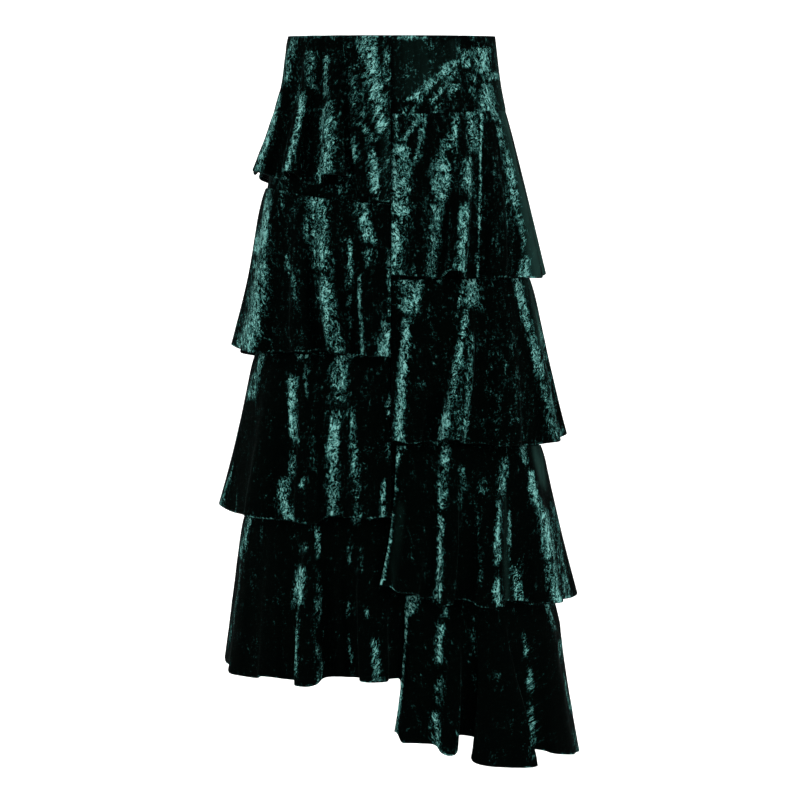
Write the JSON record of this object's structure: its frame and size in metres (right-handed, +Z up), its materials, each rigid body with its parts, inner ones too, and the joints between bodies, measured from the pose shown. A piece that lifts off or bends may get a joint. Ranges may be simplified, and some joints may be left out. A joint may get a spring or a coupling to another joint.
{
  "type": "ruffled maxi skirt",
  "caption": "Floor-length crushed velvet skirt, one half with a smooth fitted yoke and the other ruffled from the waist, with overlapping gathered tiers staggered across the centre.",
  "frame": {"origin": "centre of the waist opening, level with the waist edge at the side seams, where the wearer's waist holds the skirt", "axes": "+Z up along the wearer, out of the waist; the front faces -Y; +X is the half with the smooth yoke"},
  "size_m": [0.4888, 0.4494, 0.9693],
  "materials": {
    "velvet": "crushed velvet pile with a soft sheen",
    "velvet_base": "velvet in the shade under the tiers"
  },
  "bodies": {
    "root": {"yoke_front": "velvet", "yoke_side_front": "velvet", "yoke_side_back": "velvet", "yoke_back": "velvet", "base_left_front": "velvet_base", "base_left_back": "velvet_base", "base_right_front": "velvet_base", "base_right_back": "velvet_base", "tier_left_1_front": "velvet", "tier_left_1_back": "velvet", "tier_left_2_front": "velvet", "tier_left_2_back": "velvet", "tier_left_3_front": "velvet", "tier_left_3_back": "velvet", "tier_left_4_front": "velvet", "tier_left_4_back": "velvet", "tier_right_1_front": "velvet", "tier_right_1_back": "velvet", "tier_right_2_front": "velvet", "tier_right_2_back": "velvet", "tier_right_3_front": "velvet", "tier_right_3_back": "velvet", "tier_right_4_front": "velvet", "tier_right_4_back": "velvet"}
  },
  "joints": []
}
